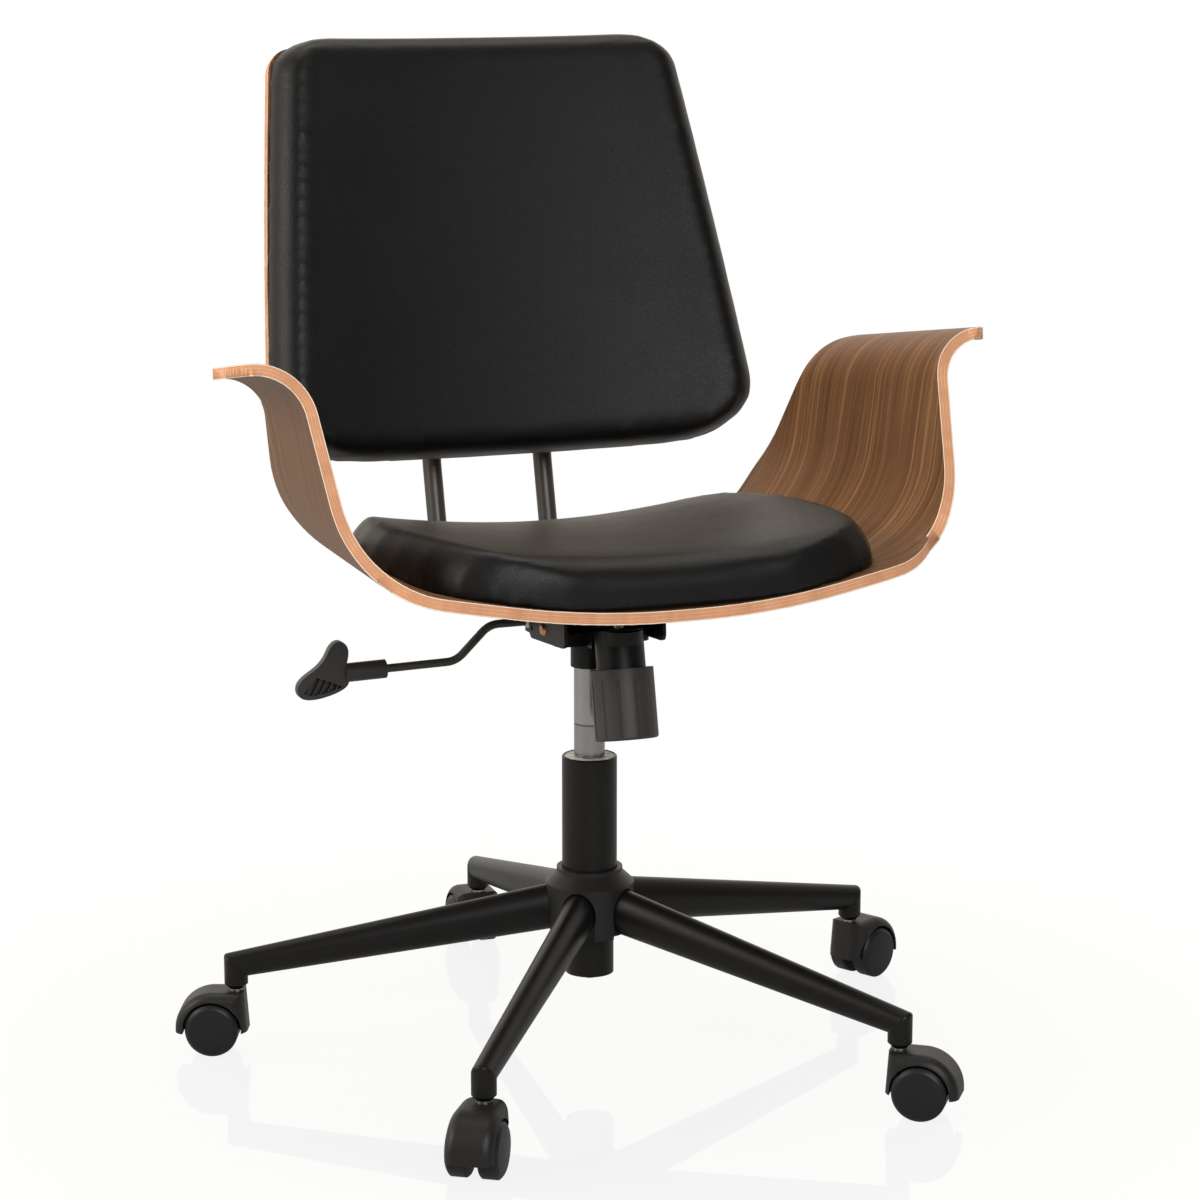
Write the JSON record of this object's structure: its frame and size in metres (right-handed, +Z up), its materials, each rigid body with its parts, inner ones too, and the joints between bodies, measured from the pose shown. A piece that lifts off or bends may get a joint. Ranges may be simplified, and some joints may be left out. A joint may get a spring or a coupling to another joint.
{
  "type": "office chair",
  "caption": "Swivel office armchair: bent-plywood bucket shell with leatherette seat and back pads on a tilt mechanism, gas column and castered star base.",
  "frame": {"origin": "on the floor under the gas column's axis, at the pictured seat height", "axes": "+Z up, the sitter faces -Y, +X is the sitter's left hand"},
  "size_m": [0.7265, 0.6916, 0.9074],
  "materials": {
    "black_leatherette": "fine pebble grain, soft sheen",
    "walnut_ply": "walnut veneer on bent plywood, satin lacquer",
    "black_metal": "satin powder coat",
    "black_plastic": "moulded, fine texture",
    "wheel_plastic": "hard nylon",
    "pale_plastic": "acetal",
    "grey_steel": "ground grey steel",
    "plated_steel": "zinc plated",
    "copper_rivet": "copper plated"
  },
  "bodies": {
    "base": {"base_hub": "black_metal", "hub_cover": "black_plastic", "base_leg_1": "black_metal", "base_leg_2": "black_metal", "base_leg_3": "black_metal", "base_leg_4": "black_metal", "base_leg_5": "black_metal", "column_tube": "black_metal", "column_bush": "pale_plastic", "thrust_bearing": "plated_steel"},
    "rod": {"piston_rod": "plated_steel", "retaining_clip": "plated_steel"},
    "carrier": {"gas_cylinder": "grey_steel", "tilt_housing": "black_metal", "pivot_pins": "copper_rivet", "tension_spring": "plated_steel"},
    "seat": {"seat_plate": "black_metal", "seat_shell": "walnut_ply", "seat_pad": "black_leatherette", "seat_bolts": "plated_steel", "backrest_shell": "walnut_ply", "backrest_pad": "black_leatherette", "back_tube_left": "black_metal", "back_tube_right": "black_metal", "tube_plugs": "black_plastic", "back_spacers": "black_plastic", "back_screws": "black_metal"},
    "lever": {"lever_rod": "black_metal", "lever_bush": "pale_plastic", "lever_paddle": "black_plastic"},
    "pin": {"release_pin": "plated_steel"},
    "bolt": {"tension_bolt": "plated_steel"},
    "washer": {"spring_washer": "plated_steel"},
    "knob": {"tension_knob": "black_plastic"},
    "caster_1": {"caster_stem_1": "plated_steel", "caster_hood_1": "black_plastic", "caster_axle_1": "plated_steel"},
    "wheel_1_a": {"caster_wheel_1_a": "wheel_plastic"},
    "wheel_1_b": {"caster_wheel_1_b": "wheel_plastic"},
    "caster_2": {"caster_stem_2": "plated_steel", "caster_hood_2": "black_plastic", "caster_axle_2": "plated_steel"},
    "wheel_2_a": {"caster_wheel_2_a": "wheel_plastic"},
    "wheel_2_b": {"caster_wheel_2_b": "wheel_plastic"},
    "caster_3": {"caster_stem_3": "plated_steel", "caster_hood_3": "black_plastic", "caster_axle_3": "plated_steel"},
    "wheel_3_a": {"caster_wheel_3_a": "wheel_plastic"},
    "wheel_3_b": {"caster_wheel_3_b": "wheel_plastic"},
    "caster_4": {"caster_stem_4": "plated_steel", "caster_hood_4": "black_plastic", "caster_axle_4": "plated_steel"},
    "wheel_4_a": {"caster_wheel_4_a": "wheel_plastic"},
    "wheel_4_b": {"caster_wheel_4_b": "wheel_plastic"},
    "caster_5": {"caster_stem_5": "plated_steel", "caster_hood_5": "black_plastic", "caster_axle_5": "plated_steel"},
    "wheel_5_a": {"caster_wheel_5_a": "wheel_plastic"},
    "wheel_5_b": {"caster_wheel_5_b": "wheel_plastic"}
  },
  "joints": [
    {"name": "seat_swivel", "type": "hinge", "parent": "base", "child": "rod", "pos_m": [0, 0, 0.0765], "axis": [0, 0, 1], "continuous": true},
    {"name": "seat_height", "type": "slide", "parent": "rod", "child": "carrier", "axis": [0, 0, 1], "range_m": [-0.078, 0]},
    {"name": "seat_tilt", "type": "hinge", "parent": "carrier", "child": "seat", "pos_m": [0, -0.012, 0.3975], "axis": [-1, 0, 0], "range_deg": [0, 12], "stiffness_Nm_per_rad": 110, "springref_deg": -14.32},
    {"name": "lever_lift", "type": "hinge", "parent": "carrier", "child": "lever", "pos_m": [-0.043, 0.038, 0.395], "axis": [0, 1, 0], "range_deg": [0, 6], "stiffness_Nm_per_rad": 3, "springref_deg": -6.88},
    {"name": "pin_press", "type": "slide", "parent": "carrier", "child": "pin", "axis": [0, 0, -1], "range_m": [0, 0.00473]},
    {"name": "bolt_rise", "type": "slide", "parent": "carrier", "child": "bolt", "axis": [0, 0.2164, 0.9763], "range_m": [0, 0.0121], "deforming": ["tension_spring"]},
    {"name": "washer_feed", "type": "slide", "parent": "bolt", "child": "washer", "axis": [0, 0.2164, 0.9763], "range_m": [0, 0.0045], "deforming": ["tension_spring"]},
    {"name": "knob_turn", "type": "hinge", "parent": "washer", "child": "knob", "pos_m": [0, -0.0765, 0.3715], "axis": [0, 0.2164, 0.9763], "range_deg": [0, 1080]},
    {"name": "caster_swivel_1", "type": "hinge", "parent": "base", "child": "caster_1", "pos_m": [0.30986, 0.09296, 0.0583], "axis": [0, 0, 1], "continuous": true},
    {"name": "wheel_roll_1_a", "type": "hinge", "parent": "caster_1", "child": "wheel_1_a", "pos_m": [0.32868, 0.10227, 0.0243], "axis": [-0.4431, 0.8965, 0], "continuous": true},
    {"name": "wheel_roll_1_b", "type": "hinge", "parent": "caster_1", "child": "wheel_1_b", "pos_m": [0.32868, 0.10227, 0.0243], "axis": [-0.4431, 0.8965, 0], "continuous": true},
    {"name": "caster_swivel_2", "type": "hinge", "parent": "base", "child": "caster_2", "pos_m": [0.00734, 0.32342, 0.0583], "axis": [0, 0, 1], "continuous": true},
    {"name": "wheel_roll_2_a", "type": "hinge", "parent": "caster_2", "child": "wheel_2_a", "pos_m": [0.00844, 0.34439, 0.0243], "axis": [-0.9986, 0.0523, 0], "continuous": true},
    {"name": "wheel_roll_2_b", "type": "hinge", "parent": "caster_2", "child": "wheel_2_b", "pos_m": [0.00844, 0.34439, 0.0243], "axis": [-0.9986, 0.0523, 0], "continuous": true},
    {"name": "caster_swivel_3", "type": "hinge", "parent": "base", "child": "caster_3", "pos_m": [-0.30532, 0.10692, 0.0583], "axis": [0, 0, 1], "continuous": true},
    {"name": "wheel_roll_3_a", "type": "hinge", "parent": "caster_3", "child": "wheel_3_a", "pos_m": [-0.32456, 0.11533, 0.0243], "axis": [-0.4003, -0.9164, 0], "continuous": true},
    {"name": "wheel_roll_3_b", "type": "hinge", "parent": "caster_3", "child": "wheel_3_b", "pos_m": [-0.32456, 0.11533, 0.0243], "axis": [-0.4003, -0.9164, 0], "continuous": true},
    {"name": "caster_swivel_4", "type": "hinge", "parent": "base", "child": "caster_4", "pos_m": [-0.19604, -0.25734, 0.0583], "axis": [0, 0, 1], "continuous": true},
    {"name": "wheel_roll_4_a", "type": "hinge", "parent": "caster_4", "child": "wheel_4_a", "pos_m": [-0.20811, -0.27452, 0.0243], "axis": [0.8181, -0.575, 0], "continuous": true},
    {"name": "wheel_roll_4_b", "type": "hinge", "parent": "caster_4", "child": "wheel_4_b", "pos_m": [-0.20811, -0.27452, 0.0243], "axis": [0.8181, -0.575, 0], "continuous": true},
    {"name": "caster_swivel_5", "type": "hinge", "parent": "base", "child": "caster_5", "pos_m": [0.18416, -0.26596, 0.0583], "axis": [0, 0, 1], "continuous": true},
    {"name": "wheel_roll_5_a", "type": "hinge", "parent": "caster_5", "child": "wheel_5_a", "pos_m": [0.20075, -0.27883, 0.0243], "axis": [0.6129, 0.7902, 0], "continuous": true},
    {"name": "wheel_roll_5_b", "type": "hinge", "parent": "caster_5", "child": "wheel_5_b", "pos_m": [0.20075, -0.27883, 0.0243], "axis": [0.6129, 0.7902, 0], "continuous": true}
  ],
  "couplings": [
    {"joint": "pin_press", "follows": "lever_lift", "m_per_rad": 0.045},
    {"joint": "bolt_rise", "follows": "seat_tilt", "m_per_rad": 0.0573},
    {"joint": "knob_turn", "follows": "washer_feed", "rad_per_m": 4188}
  ]
}
